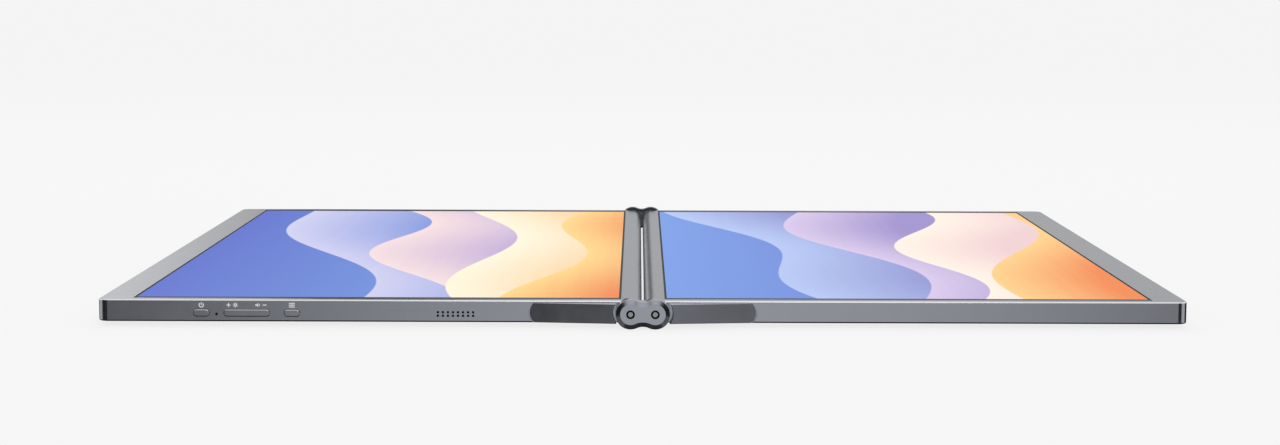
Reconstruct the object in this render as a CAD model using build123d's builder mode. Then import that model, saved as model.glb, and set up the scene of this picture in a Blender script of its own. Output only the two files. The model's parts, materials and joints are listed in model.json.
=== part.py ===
from build123d import *
import os
from math import atan2, degrees, sqrt

# Dual portable monitor: two screens joined along their long edges by a pair of double-pivot links.
# It lies open, flat on a table. X runs across the hinge to the right, Y along the hinge away from
# the controls, Z up. The origin is on the table, under the middle of the hinge. Millimetres.

# Screen
picture_length = 344.2  # along the hinge, 15.6 inch wide format
picture_height = 193.6  # across the hinge
gasket_width = 0.6  # black line round the picture
gasket_recess = 0.4  # below the face of the frame
cell_thickness = 1.2
cell_border = 3.4  # unlit ends of the cell, beyond the picture
screen_recess = 0.1  # picture below the face of the frame
backlight_thickness = 2.4
backlight_end_inset = 0.4  # short of the window's ends
backlight_outer_margin = 2.5  # beyond the window, under the bezel
driver_board_width = 5.8
driver_board_end_margin = 18.1  # short of the window's ends
driver_board_thickness = 0.8

# Panel
inner_height = 4.0  # room for boards between backlight and rear cover
cover_thickness = 1.2
wall = 1.6
bezel_end = 4.6
bezel_outer = 13.4
bezel_hinge = 3.8  # from the pivot line to the window
rail_depth = 2.5  # from the pivot line to the inside of the hinge rail
corner_radius = 4.0
edge_round = 0.65
fit_gap = 0.1  # round fixed pieces that drop into place
stand_off = 0.2  # air between fixed pieces inside

# Rear cover fixings and feet
boss_width = 3.4
cover_screw_radius = 0.7
cover_screw_head_radius = 1.4
cover_screw_length = 4.2
screw_hole_gap = 0.05
screw_recess_width = 0.35
screw_recess_depth = 0.35
outer_boss_inset = 16.9  # boss centre from the outer edge
side_boss_inset = 90.7  # boss centre from the panel's ends
foot_length = 42.0
foot_width = 9.0
foot_recess = 0.4
foot_inset_x = 18.0  # foot centre from the outer edge
foot_inset_y = 48.7  # foot centre from the panel's ends
tongue_reach = 0.6  # cover edge under the hinge rail
tongue_thickness = 0.5

# Hinge
barrel_gap = 0.9  # slit between the two round hinge edges
pivot_drop = 0.3  # pivot below the middle of the panel
lobe_rise = 1.55  # link lobe beyond the panel's half thickness
link_gap = 0.3  # between panel end and link
link_plate = 1.0
link_wall = 1.2  # front wall of a cap
link_rim = 0.9
link_bevel_width = 1.9  # sloping ring round the flat face of a cap
link_bevel_depth = 0.7
link_edge_round = 0.3
waist_radius = 6.0
shaft_radius = 1.5
pin_radius = 1.0  # end of the near shaft, seen in the cap
pin_window_radius = 1.75
pin_recess = 0.3
running_fit = 0.03
seat_fit = 0.01
washer_count = 4
washer_radius = 3.3
washer_metal = 0.35
washer_dish = 0.25
side_play = 0.05
nut_flats = 4.8
nut_height = 1.2
nut_to_cap = 0.4
clip_radius = 2.6
clip_thickness = 0.6
hollow_radius = 0.9  # bore of a far shaft
hollow_end = 0.25  # far shaft beyond its clip
eye_radius = 2.5
eye_length = 8.0
eye_gap = 0.15
leaf_thickness = 1.2
leaf_length = 46.0  # from the hinge centre
bracket_screw_first_x = 16.0
bracket_screw_pitch = 13.0
bracket_screw_count = 3
bracket_screw_radius = 0.55
bracket_screw_head_radius = 1.1
bracket_screw_head = 0.7
bracket_screw_bite = 1.8
post_width = 3.2

# Fairings beside the links
fairing_reach = 45.0  # outer end from the hinge centre
fairing_sag = 2.1  # bulge of the outer end
fairing_end_gap = 0.5  # groove at the outer end
fairing_seat = 0.8  # depth of the seat in the end wall
fairing_outer_proud = 0.3
fairing_hinge_proud = 4.0
fairing_lip = 0.85  # frame left above the fairing
fairing_round = 0.3
fairing_link_gap = 1.0  # round the link lobe
peg_radius = 0.8
peg_first_x = 20.0
peg_pitch = 15.0

# Controls in the near wall of the left panel
control_height = 2.7
control_width = 6.3
rocker_width = 18.2
control_lift = 2.3  # centre above the inside of the rear cover
control_proud = 0.3
control_gap = 0.18
power_inset = 41.4  # power button from the panel's outer edge
control_pitch = 18.0
flange_reach = 0.4
flange_thickness = 0.5
flange_gap = 0.3
switch_gap = 0.4
switch_width = 3.6
switch_depth = 2.2
switch_height = 1.7
rocker_switch_pitch = 12.6
light_offset = 6.0  # from the power button
light_rise = 3.0
light_radius = 0.5
holder_thickness = 0.6
holder_margin = 6.0
button_board_thickness = 0.8
button_board_depth = 7.0
lug_half_width = 1.2
lug_depth = 2.3
lug_clearance = 0.4
rocker_pin_radius = 0.5
rocker_pin_inset = 1.2  # behind the flange
rocker_pin_height = 3.5

# Speakers behind the near and far wall of the left panel
speaker_x = -74.5
speaker_length = 30.0
speaker_depth = 14.0
grille_columns = 8
grille_rows = 2
grille_column_pitch = 2.0
grille_row_pitch = 1.4
grille_hole_radius = 0.5
grille_rise = 3.3
mesh_thickness = 0.3
mesh_margin = 1.6

# Main board and sockets at the far wall of the left panel
board_inset = 59.9  # board centre from the panel's outer edge
board_length = 60.0
board_width = 46.0
board_thickness = 1.0
board_stand_off = 0.6
board_post_radius = 1.8
board_screw_radius = 0.6
board_screw_head_radius = 1.4
board_screw_head = 0.6
board_screw_inset = 3.0
usb_c_width = 8.94
usb_c_height = 3.16
usb_c_depth = 7.0
usb_c_tongue_width = 6.7
usb_c_tongue_thickness = 0.7
usb_c_tongue_length = 4.4
usb_c_offset = 10.0  # middle of the two sockets from the board's centre
usb_c_pitch = 18.0
mini_hdmi_width = 11.2
mini_hdmi_height = 3.2
mini_hdmi_depth = 7.2
mini_hdmi_corner = 1.0
mini_hdmi_tongue_width = 7.8
mini_hdmi_offset = 19.0  # from the board's centre
socket_shell = 0.3
socket_inset = 0.7
chip_height = 1.2
processor_side = 14.0
coil_side = 5.0
coil_count = 3
coil_pitch = 8.0
connector_length = 5.0
connector_width = 14.0

# Cables
cable_radius = 0.6
cable_bend = 6.0
cable_inset = 33.1  # from the inside of the far wall
loop_clearance = 0.3
loop_straight = 0.3
ribbon_width = 12.0
ribbon_thickness = 0.3

# Places worked out from the sizes above
LEFT, RIGHT = -1, 1
NEAR, FAR = -1, 1
SIDE_NAMES = {LEFT: "left", RIGHT: "right"}
END_NAMES = {NEAR: "near", FAR: "far"}

front_plate = cell_thickness + screen_recess
panel_thickness = front_plate + backlight_thickness + inner_height + cover_thickness
barrel_radius = panel_thickness / 2
pivot_x = barrel_radius + barrel_gap / 2
lobe_radius = barrel_radius + lobe_rise
pivot_z = lobe_radius
middle_z = pivot_z + pivot_drop
bottom_z = middle_z - barrel_radius
top_z = middle_z + barrel_radius
plate_z = top_z - front_plate
backlight_z = plate_z - backlight_thickness
cover_z = bottom_z + cover_thickness

cell_length = picture_length + 2 * cell_border
window_length = cell_length + 2 * gasket_width
window_height = picture_height + 2 * gasket_width
window_hinge_x = pivot_x + bezel_hinge
window_outer_x = window_hinge_x + window_height
window_end_y = window_length / 2
panel_outer_x = window_outer_x + bezel_outer
panel_end_y = window_end_y + bezel_end
inside_hinge_x = pivot_x + rail_depth
inside_outer_x = panel_outer_x - wall
inside_end_y = panel_end_y - wall
backlight_outer_x = window_outer_x + backlight_outer_margin
backlight_end_y = window_end_y - backlight_end_inset
strip_y = (backlight_end_y + stand_off + inside_end_y) / 2
driver_board_outer_x = backlight_outer_x + driver_board_width
driver_board_length = window_length - 2 * driver_board_end_margin
outer_boss_x = panel_outer_x - outer_boss_inset
side_boss_x = (driver_board_outer_x + fit_gap + inside_outer_x) / 2
side_boss_y = panel_end_y - side_boss_inset
foot_y = panel_end_y - foot_inset_y
cable_y = inside_end_y - cable_inset

link_inner_y = panel_end_y + link_gap
plate_outer_y = link_inner_y + link_plate
washer_pitch = washer_metal + washer_dish
nut_inner_y = plate_outer_y + side_play + washer_count * washer_pitch
nut_outer_y = nut_inner_y + nut_height
cap_inside_y = nut_outer_y + nut_to_cap
link_front_y = cap_inside_y + link_wall
clip_inner_y = plate_outer_y + side_play
hollow_end_y = clip_inner_y + clip_thickness + hollow_end
loop_bend = cap_inside_y - loop_clearance - cable_radius - loop_straight - hollow_end_y
eye_outer_y = inside_end_y - fit_gap
eye_inner_y = eye_outer_y - eye_length
pocket_radius = eye_radius + eye_gap
pocket_inner_y = {NEAR: eye_inner_y - eye_gap, FAR: cable_y - cable_radius - loop_clearance}
leaf_inner_y = backlight_end_y + stand_off
leaf_outer_y = inside_end_y - fit_gap
leaf_y = (leaf_inner_y + leaf_outer_y) / 2
leaf_bottom_z = pivot_z - leaf_thickness / 2
leaf_top_z = pivot_z + leaf_thickness / 2

fairing_back_y = panel_end_y - fairing_seat
fairing_inner_radius = lobe_radius + fairing_link_gap
fairing_bottom_z = bottom_z + fit_gap
fairing_top_z = top_z - fairing_lip

power_x = power_inset - panel_outer_x
rocker_x = power_x + control_pitch
menu_x = rocker_x + control_pitch
light_x = power_x + light_offset
control_z = cover_z + control_lift
flange_front_y = inside_end_y - flange_gap
flange_back_y = flange_front_y - flange_thickness
switch_front_y = flange_back_y - switch_gap
holder_top_z = cover_z + holder_thickness
button_board_top_z = holder_top_z + button_board_thickness
button_board_inner_y = switch_front_y - button_board_depth
rocker_pin_y = flange_back_y - rocker_pin_inset
holder_left_x = power_x - control_width / 2 - holder_margin
holder_right_x = menu_x + control_width / 2 + holder_margin

grille_z = bottom_z + grille_rise
speaker_front_y = inside_end_y - mesh_thickness
board_bottom_z = cover_z + board_stand_off
board_top_z = board_bottom_z + board_thickness
board_far_y = inside_end_y - stand_off
board_near_y = board_far_y - board_width
board_x = board_inset - panel_outer_x
board_left_x = board_x - board_length / 2
board_right_x = board_x + board_length / 2
inner_boss_x = (leaf_length - speaker_x - speaker_length / 2) / 2
middle_boss_x = (speaker_length / 2 - speaker_x - board_right_x) / 2
usb_c_first_x = board_x - usb_c_offset - usb_c_pitch / 2
usb_c_second_x = usb_c_first_x + usb_c_pitch
mini_hdmi_x = board_x + mini_hdmi_offset
socket_mouth_y = panel_end_y - socket_inset
socket_z = (cover_z + backlight_z) / 2
connector_top_z = backlight_z - stand_off


# Drawing helpers
def section(y):
    """Upright plane across the hinge at the given Y: its x is X and its y is Z."""
    return Plane.XZ.offset(-y)


def block(x_ends, y_ends, z_ends, mode=Mode.ADD):
    """Box between two values on each axis."""
    ends = (x_ends, y_ends, z_ends)
    centre = [(first + last) / 2 for first, last in ends]
    size = [abs(last - first) for first, last in ends]
    with Locations(tuple(centre)):
        Box(*size, mode=mode)


def rod_along_y(x, z, y_ends, radius, mode=Mode.ADD):
    """Round rod parallel to the hinge."""
    first, last = y_ends
    with Locations(Location((x, (first + last) / 2, z), (90, 0, 0))):
        Cylinder(radius, abs(last - first), mode=mode)


def rod_along_z(x, y, z_ends, radius, mode=Mode.ADD):
    """Upright round rod."""
    first, last = z_ends
    with Locations((x, y, (first + last) / 2)):
        Cylinder(radius, abs(last - first), mode=mode)


def pill(x, z, y_ends, width, height, mode=Mode.ADD):
    """Bar parallel to the hinge with a round-ended section lying along X."""
    straight = (width - height) / 2
    block((x - straight, x + straight), y_ends, (z - height / 2, z + height / 2), mode)
    for end_x in (x - straight, x + straight):
        rod_along_y(end_x, z, y_ends, height / 2, mode)


def save(piece, name):
    """Labels a finished piece and writes it under its name."""
    piece.part.label = name
    export_step(piece.part, f"parts/{name}.step")


def link_outline(radius, waist):
    """Two round lobes on the pivots, drawn together by a hollow arc above and below."""
    arc_height = sqrt((radius + waist) ** 2 - pivot_x**2)
    lean = degrees(atan2(arc_height, pivot_x))
    lobe_sweep = 2 * (180 - lean)
    waist_sweep = 180 - 2 * lean
    with BuildLine() as outline:
        CenterArc((pivot_x, pivot_z), radius, lean - 180, lobe_sweep)
        CenterArc((-pivot_x, pivot_z), radius, lean, lobe_sweep)
        CenterArc((0, pivot_z + arc_height), waist, lean - 180, waist_sweep)
        CenterArc((0, pivot_z - arc_height), waist, lean, waist_sweep)
    return outline.line


def cover_screw_places(side):
    """Where the rear cover is screwed to the frame: along both ends and along the outer edge."""
    places = []
    for x in (inner_boss_x, middle_boss_x, outer_boss_x):
        for end in (NEAR, FAR):
            places.append((side * x, end * strip_y))
    for step in (-1, 0, 1):
        places.append((side * side_boss_x, step * side_boss_y))
    return places


def bracket_screw_places(side, end):
    """Where a bracket's leaf is screwed to the frame's posts."""
    places = []
    for count in range(bracket_screw_count):
        x = bracket_screw_first_x + count * bracket_screw_pitch
        places.append((side * x, end * leaf_y))
    return places


def peg_places(side):
    """X of the pegs that hold a fairing."""
    return [side * peg_first_x, side * (peg_first_x + peg_pitch)]


def board_screw_places():
    """Corners of the main board, clear of its sockets."""
    left = board_left_x + board_screw_inset
    right = board_right_x - board_screw_inset
    near = board_near_y + board_screw_inset
    far = board_far_y - usb_c_depth - board_screw_inset
    return [(left, near), (right, near), (left, far), (right, far)]


def control_list():
    """Centre and width of the three controls."""
    return [(power_x, control_width), (rocker_x, rocker_width), (menu_x, control_width)]


def socket_list():
    """Centre, width and depth of the three sockets."""
    return [
        (usb_c_first_x, usb_c_width, usb_c_depth),
        (usb_c_second_x, usb_c_width, usb_c_depth),
        (mini_hdmi_x, mini_hdmi_width, mini_hdmi_depth),
    ]


# Panel shell
def panel_blank(side):
    """Outer form of a panel: a flat slab with a fully round hinge edge and rounded outer corners."""
    outer_x = side * panel_outer_x
    start = (side * pivot_x, bottom_z)
    finish = (side * pivot_x, top_z)
    with BuildPart() as blank:
        with BuildSketch(section(panel_end_y)):
            with BuildLine():
                Polyline(start, (outer_x, bottom_z), (outer_x, top_z), finish)
                ThreePointArc(finish, (side * (pivot_x - barrel_radius), middle_z), start)
            make_face()
        extrude(amount=2 * panel_end_y)
        fillet(blank.edges().filter_by(Axis.Z), corner_radius)
        end_edges = blank.faces().filter_by(Axis.Y).edges().filter_by(Axis.Z, reverse=True)
        side_edges = blank.faces().sort_by(Axis.X)[-1 if side == RIGHT else 0].edges().filter_by(Axis.Y)
        corners = blank.edges().filter_by(GeomType.CIRCLE)
        corner_edges = corners.filter_by(lambda edge: abs(edge.radius - corner_radius) < fit_gap)
        fillet(end_edges + side_edges + corner_edges, edge_round)
    return blank


def inside_sketch_corners(sketch, side):
    """The two corners of an inside outline that lie at the panel's outer edge."""
    by_x = sketch.vertices().sort_by(Axis.X)
    return by_x[-2:] if side == RIGHT else by_x[:2]


def fairing_outline(side, gap, end_gap):
    """Side view of a fairing: hollow round the link lobe, bulged at the outer end."""
    low = fairing_bottom_z - gap
    high = fairing_top_z + gap
    inner = fairing_inner_radius - gap
    outer = fairing_reach + end_gap
    shoulder = outer - fairing_sag

    def hollow_x(z):
        return side * (pivot_x + sqrt(inner**2 - (z - pivot_z) ** 2))

    with BuildLine() as outline:
        Line((hollow_x(high), high), (side * shoulder, high))
        ThreePointArc((side * shoulder, high), (side * outer, (low + high) / 2), (side * shoulder, low))
        Line((side * shoulder, low), (hollow_x(low), low))
        ThreePointArc((hollow_x(low), low), (side * (pivot_x + inner), pivot_z), (hollow_x(high), high))
    return outline.line


def make_frame(side):
    """Bezel, side walls and hinge rail in one piece, open underneath."""
    blank = panel_blank(side)
    with BuildPart() as frame:
        add(blank.part)
        # Hollow for backlight and boards
        with BuildSketch(Plane.XY.offset(bottom_z - edge_round)) as hollow:
            width = inside_outer_x - inside_hinge_x
            with Locations((side * (inside_hinge_x + inside_outer_x) / 2, 0)):
                Rectangle(width, 2 * inside_end_y)
            fillet(inside_sketch_corners(hollow, side), corner_radius - wall)
        extrude(amount=plate_z - bottom_z + edge_round, mode=Mode.SUBTRACT)
        # Window for the screen
        window_x = (side * window_hinge_x, side * window_outer_x)
        block(window_x, (-window_end_y, window_end_y), (plate_z, top_z), Mode.SUBTRACT)
        # Groove for the cover's tongue
        groove_x = (side * (inside_hinge_x - tongue_reach - fit_gap), side * inside_hinge_x)
        groove_z = (cover_z - tongue_thickness - fit_gap, cover_z + fit_gap)
        block(groove_x, (-inside_end_y, inside_end_y), groove_z, Mode.SUBTRACT)
        # Bosses for the cover screws
        for x, y in cover_screw_places(side):
            half = boss_width / 2
            if abs(y) > backlight_end_y:
                end = NEAR if y < 0 else FAR
                boss_y = (end * leaf_inner_y, end * inside_end_y)
                block((x - half, x + half), boss_y, (cover_z, plate_z))
            else:
                boss_x = (side * (driver_board_outer_x + fit_gap), side * inside_outer_x)
                block(boss_x, (y - half, y + half), (cover_z, plate_z))
            thread = (cover_z, bottom_z + cover_screw_length + screw_hole_gap)
            rod_along_z(x, y, thread, cover_screw_radius + screw_hole_gap, Mode.SUBTRACT)
        for end in (NEAR, FAR):
            cut_hinge_end(side, end)
            for x, y in bracket_screw_places(side, end):
                half = post_width / 2
                post_y = (end * leaf_inner_y, end * inside_end_y)
                block((x - half, x + half), post_y, (leaf_top_z, plate_z))
                thread = (leaf_top_z, leaf_top_z + bracket_screw_bite + screw_hole_gap)
                rod_along_z(x, y, thread, bracket_screw_radius + screw_hole_gap, Mode.SUBTRACT)
            # Seat of the fairing, open at the underside
            with BuildSketch(section(end * fairing_back_y)):
                make_face(fairing_outline(side, fit_gap, fairing_end_gap).edges())
            extrude(amount=-end * (fairing_seat + fit_gap), mode=Mode.SUBTRACT)
            for x in peg_places(side):
                peg_hole_y = (end * inside_end_y, end * fairing_back_y)
                rod_along_y(x, middle_z, peg_hole_y, peg_radius + screw_hole_gap, Mode.SUBTRACT)
        if side == LEFT:
            cut_controls()
            cut_sockets()
            for end in (NEAR, FAR):
                cut_grille(end)
    return frame


def cut_hinge_end(side, end):
    """Pocket for a bracket's eye in the hinge rail, open to the inside, and the bore for its shaft."""
    x = side * pivot_x
    pocket_y = (end * pocket_inner_y[end], end * inside_end_y)
    rod_along_y(x, pivot_z, pocket_y, pocket_radius, Mode.SUBTRACT)
    pocket_z = (pivot_z - pocket_radius, pivot_z + pocket_radius)
    block((x, side * inside_hinge_x), pocket_y, pocket_z, Mode.SUBTRACT)
    bore_y = (end * inside_end_y, end * panel_end_y)
    rod_along_y(x, pivot_z, bore_y, shaft_radius + fit_gap, Mode.SUBTRACT)


def cut_controls():
    """Openings for the buttons and the status light in the near wall."""
    wall_y = (-panel_end_y, -inside_end_y)
    for x, width in control_list():
        pill(x, control_z, wall_y, width + 2 * control_gap, control_height + 2 * control_gap, Mode.SUBTRACT)
    rod_along_y(light_x, bottom_z + light_rise, wall_y, light_radius + screw_hole_gap, Mode.SUBTRACT)


def cut_sockets():
    """Openings for the sockets in the far wall."""
    wall_y = (inside_end_y, panel_end_y)
    for x in (usb_c_first_x, usb_c_second_x):
        pill(x, socket_z, wall_y, usb_c_width + 2 * fit_gap, usb_c_height + 2 * fit_gap, Mode.SUBTRACT)
    half_width = mini_hdmi_width / 2 + fit_gap
    half_height = mini_hdmi_height / 2 + fit_gap
    opening_x = (mini_hdmi_x - half_width, mini_hdmi_x + half_width)
    block(opening_x, wall_y, (socket_z - half_height, socket_z + half_height), Mode.SUBTRACT)


def cut_grille(end):
    """Rows of sound holes through an end wall."""
    wall_y = (end * inside_end_y, end * panel_end_y)
    for column in range(grille_columns):
        x = speaker_x + (column - (grille_columns - 1) / 2) * grille_column_pitch
        for row in range(grille_rows):
            z = grille_z + (row - (grille_rows - 1) / 2) * grille_row_pitch
            rod_along_y(x, z, wall_y, grille_hole_radius, Mode.SUBTRACT)


def make_cover(side):
    """Rear cover let into the walls, with a tongue under the hinge rail and seats for two feet."""
    hinge_x = inside_hinge_x + fit_gap
    outer_x = inside_outer_x - fit_gap
    half_length = inside_end_y - fit_gap
    with BuildPart() as cover:
        with BuildSketch(Plane.XY.offset(bottom_z)) as outline:
            with Locations((side * (hinge_x + outer_x) / 2, 0)):
                Rectangle(outer_x - hinge_x, 2 * half_length)
            fillet(inside_sketch_corners(outline, side), corner_radius - wall - fit_gap)
        extrude(amount=cover_thickness)
        tongue_x = (side * (inside_hinge_x - tongue_reach), side * hinge_x)
        block(tongue_x, (-half_length, half_length), (cover_z - tongue_thickness, cover_z))
        for x, y in cover_screw_places(side):
            rod_along_z(x, y, (bottom_z, cover_z), cover_screw_radius + screw_hole_gap, Mode.SUBTRACT)
            sink = cover_screw_head_radius - cover_screw_radius
            with Locations((x, y, bottom_z + sink / 2)):
                Cone(
                    cover_screw_head_radius + screw_hole_gap,
                    cover_screw_radius + screw_hole_gap,
                    sink,
                    mode=Mode.SUBTRACT,
                )
        with BuildSketch(Plane.XY.offset(bottom_z)):
            with Locations(*foot_places(side)):
                SlotOverall(foot_length + 2 * fit_gap, foot_width + 2 * fit_gap, rotation=90)
        extrude(amount=foot_recess, mode=Mode.SUBTRACT)
        if side == LEFT:
            for x, y in board_screw_places():
                rod_along_z(x, y, (cover_z, board_bottom_z), board_post_radius)
                thread = (bottom_z + foot_recess, board_bottom_z)
                rod_along_z(x, y, thread, board_screw_radius + screw_hole_gap, Mode.SUBTRACT)
    return cover


def foot_places(side):
    """Centres of a panel's two feet."""
    x = side * (panel_outer_x - foot_inset_x)
    return [(x, -foot_y), (x, foot_y)]


def make_feet(side):
    """Two long rubber feet, seated in the cover."""
    with BuildPart() as feet:
        with BuildSketch(Plane.XY):
            with Locations(*foot_places(side)):
                SlotOverall(foot_length, foot_width, rotation=90)
        extrude(amount=bottom_z + foot_recess)
        fillet(feet.edges().group_by(Axis.Z)[0], edge_round)
    return feet


def make_cover_screws(side):
    """Flat-headed screws with a cross recess, level with the cover."""
    sink = cover_screw_head_radius - cover_screw_radius
    with BuildPart() as screws:
        for x, y in cover_screw_places(side):
            with Locations((x, y, bottom_z + sink / 2)):
                Cone(cover_screw_head_radius, cover_screw_radius, sink)
            rod_along_z(x, y, (bottom_z + sink, bottom_z + cover_screw_length), cover_screw_radius)
            half_long = cover_screw_radius
            half_wide = screw_recess_width / 2
            recess_z = (bottom_z, bottom_z + screw_recess_depth)
            block((x - half_long, x + half_long), (y - half_wide, y + half_wide), recess_z, Mode.SUBTRACT)
            block((x - half_wide, x + half_wide), (y - half_long, y + half_long), recess_z, Mode.SUBTRACT)
    return screws


# Screen
def make_cell(side):
    """The display cell, let into the window: the picture with an unlit border at each end."""
    cell_x = (side * (window_hinge_x + gasket_width), side * (window_outer_x - gasket_width))
    half_length = cell_length / 2
    with BuildPart() as cell:
        block(cell_x, (-half_length, half_length), (plate_z, plate_z + cell_thickness))
    return cell


def make_gasket(side):
    """Black ring between cell and frame."""
    gasket_z = (plate_z, top_z - gasket_recess)
    window_x = (side * window_hinge_x, side * window_outer_x)
    cell_x = (side * (window_hinge_x + gasket_width), side * (window_outer_x - gasket_width))
    half_length = cell_length / 2
    with BuildPart() as gasket:
        block(window_x, (-window_end_y, window_end_y), gasket_z)
        block(cell_x, (-half_length, half_length), gasket_z, Mode.SUBTRACT)
    return gasket


def make_backlight(side):
    """Light guide in its tray, fixed under the bezel."""
    backlight_x = (side * (inside_hinge_x + stand_off), side * backlight_outer_x)
    with BuildPart() as backlight:
        block(backlight_x, (-backlight_end_y, backlight_end_y), (backlight_z, plate_z))
    return backlight


def make_driver_board(side):
    """Narrow board beside the backlight, with the socket for the screen's cable under it."""
    board_x_ends = (side * backlight_outer_x, side * driver_board_outer_x)
    half_length = driver_board_length / 2
    half_socket = connector_width / 2
    board_z = (backlight_z, backlight_z + driver_board_thickness)
    socket_y = (cable_y - half_socket, cable_y + half_socket)
    with BuildPart() as board:
        block(board_x_ends, (-half_length, half_length), board_z)
        block(board_x_ends, socket_y, (pivot_z - 2 * cable_radius, backlight_z))
    return board


# Hinge
def make_bracket(side, end):
    """Steel eye round the shaft with a leaf that is screwed along the end of the frame."""
    x = side * pivot_x
    with BuildPart() as bracket:
        rod_along_y(x, pivot_z, (end * eye_inner_y, end * eye_outer_y), eye_radius)
        leaf_y_ends = (end * leaf_inner_y, end * leaf_outer_y)
        block((x, side * leaf_length), leaf_y_ends, (leaf_bottom_z, leaf_top_z))
        bore_y = (end * eye_inner_y, end * eye_outer_y)
        rod_along_y(x, pivot_z, bore_y, shaft_radius + seat_fit, Mode.SUBTRACT)
        for screw_x, screw_y in bracket_screw_places(side, end):
            hole_radius = bracket_screw_radius + fit_gap
            rod_along_z(screw_x, screw_y, (leaf_bottom_z, leaf_top_z), hole_radius, Mode.SUBTRACT)
    return bracket


def make_bracket_screws(side):
    """Small screws that hold both leaves of a panel to the frame's posts."""
    with BuildPart() as screws:
        for end in (NEAR, FAR):
            for x, y in bracket_screw_places(side, end):
                head_z = (leaf_bottom_z - bracket_screw_head, leaf_bottom_z)
                rod_along_z(x, y, head_z, bracket_screw_head_radius)
                shank_z = (leaf_bottom_z, leaf_top_z + bracket_screw_bite)
                rod_along_z(x, y, shank_z, bracket_screw_radius)
    return screws


def make_near_shaft(side):
    """Solid shaft from the bracket's eye through the link, with a slimmer pin end for the nut."""
    x = side * pivot_x
    with BuildPart() as shaft:
        rod_along_y(x, pivot_z, (-eye_inner_y, -nut_inner_y), shaft_radius)
        rod_along_y(x, pivot_z, (-nut_inner_y, -(link_front_y - pin_recess)), pin_radius)
    return shaft


def make_far_shaft(side):
    """Hollow shaft: the cable between the panels runs through it."""
    x = side * pivot_x
    shaft_y = (eye_inner_y, hollow_end_y)
    with BuildPart() as shaft:
        rod_along_y(x, pivot_z, shaft_y, shaft_radius)
        rod_along_y(x, pivot_z, shaft_y, hollow_radius, Mode.SUBTRACT)
    return shaft


def make_washers(side):
    """Dished spring washers, set face to face and back to back, that give the hinge its friction."""
    x = side * pivot_x
    inner = shaft_radius + seat_fit
    with BuildPart() as washers:
        for count in range(washer_count):
            y = -(plate_outer_y + side_play + count * washer_pitch)
            inner_y = y - washer_dish * (count % 2)
            outer_y = y - washer_dish * ((count + 1) % 2)
            with BuildSketch(Plane.XY.offset(pivot_z)):
                with BuildLine():
                    Polyline(
                        (x + inner, inner_y),
                        (x + washer_radius, outer_y),
                        (x + washer_radius, outer_y - washer_metal),
                        (x + inner, inner_y - washer_metal),
                        close=True,
                    )
                make_face()
            revolve(axis=Axis((x, 0, pivot_z), (0, 1, 0)))
    return washers


def make_nut(side):
    """Six-sided lock nut on the pin end of a near shaft."""
    x = side * pivot_x
    with BuildPart() as nut:
        with BuildSketch(section(-nut_inner_y)):
            with Locations((x, pivot_z)):
                RegularPolygon(nut_flats / 2, 6, major_radius=False)
                Circle(pin_radius + seat_fit, mode=Mode.SUBTRACT)
        extrude(amount=nut_height)
    return nut


def make_clip(side):
    """Retaining ring on a far shaft."""
    x = side * pivot_x
    with BuildPart() as clip:
        with BuildSketch(section(clip_inner_y)):
            with Locations((x, pivot_z)):
                Circle(clip_radius)
                Circle(shaft_radius + seat_fit, mode=Mode.SUBTRACT)
        extrude(amount=-clip_thickness)
    return clip


def make_link_cap(end):
    """Dog-bone cup over both pivots with a bevelled face; the near one shows the pin ends."""
    with BuildPart() as cap:
        with BuildSketch(section(end * link_inner_y)):
            make_face(link_outline(lobe_radius, waist_radius).edges())
        extrude(amount=-end * (link_front_y - link_inner_y))
        front = cap.faces().filter_by(Axis.Y).sort_by(Axis.Y)[0 if end == NEAR else -1]
        chamfer(front.edges(), link_bevel_width, link_bevel_depth, reference=front)
        shoulder_y = end * (link_front_y - link_bevel_depth)
        shoulder = cap.edges().filter_by(lambda edge: abs(edge.center().Y - shoulder_y) < fit_gap)
        fillet(shoulder, link_edge_round)
        with BuildSketch(section(end * link_inner_y)):
            make_face(link_outline(lobe_radius - link_rim, waist_radius + link_rim).edges())
        extrude(amount=-end * (cap_inside_y - link_inner_y), mode=Mode.SUBTRACT)
        for side in (LEFT, RIGHT):
            if end == NEAR:
                window_y = (-cap_inside_y, -link_front_y)
                rod_along_y(side * pivot_x, pivot_z, window_y, pin_window_radius, Mode.SUBTRACT)
            else:
                groove_y = (link_front_y - pin_recess, link_front_y)
                rod_along_y(side * pivot_x, pivot_z, groove_y, pin_window_radius, Mode.SUBTRACT)
                rod_along_y(side * pivot_x, pivot_z, groove_y, pin_radius)
    return cap


def make_link_plates():
    """Steel plates in the mouths of both caps: they carry the shafts."""
    plate_radius = lobe_radius - link_rim - fit_gap
    plate_waist = waist_radius + link_rim + fit_gap
    with BuildPart() as plates:
        for end in (NEAR, FAR):
            with BuildSketch(section(end * link_inner_y)):
                make_face(link_outline(plate_radius, plate_waist).edges())
                with Locations((-pivot_x, pivot_z), (pivot_x, pivot_z)):
                    Circle(shaft_radius + running_fit, mode=Mode.SUBTRACT)
            extrude(amount=-end * link_plate)
    return plates


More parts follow.
